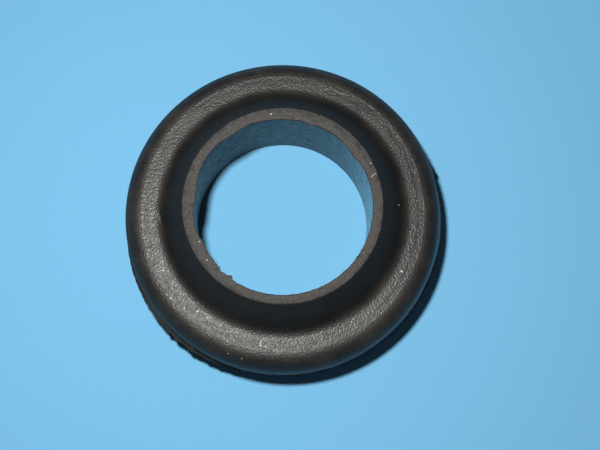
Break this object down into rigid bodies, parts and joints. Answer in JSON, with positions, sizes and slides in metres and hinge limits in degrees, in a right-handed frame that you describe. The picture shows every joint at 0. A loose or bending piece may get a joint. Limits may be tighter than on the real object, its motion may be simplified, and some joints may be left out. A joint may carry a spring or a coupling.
{
  "type": "knob gasket",
  "caption": "Moulded black rubber ring with a rounded flange and a sloping neck that ends in a flat lip round the bore; seals the gap under a control knob.",
  "frame": {"origin": "centre of the bore in the flat seat face under the flange", "axes": "+Z along the bore, from the seat face up to the lip; +X to the right in the picture"},
  "size_m": [0.0271, 0.027, 0.0087],
  "materials": {
    "black_rubber": "matte, fine moulded grain"
  },
  "bodies": {
    "root": {"knob_gasket": "black_rubber"}
  },
  "joints": []
}
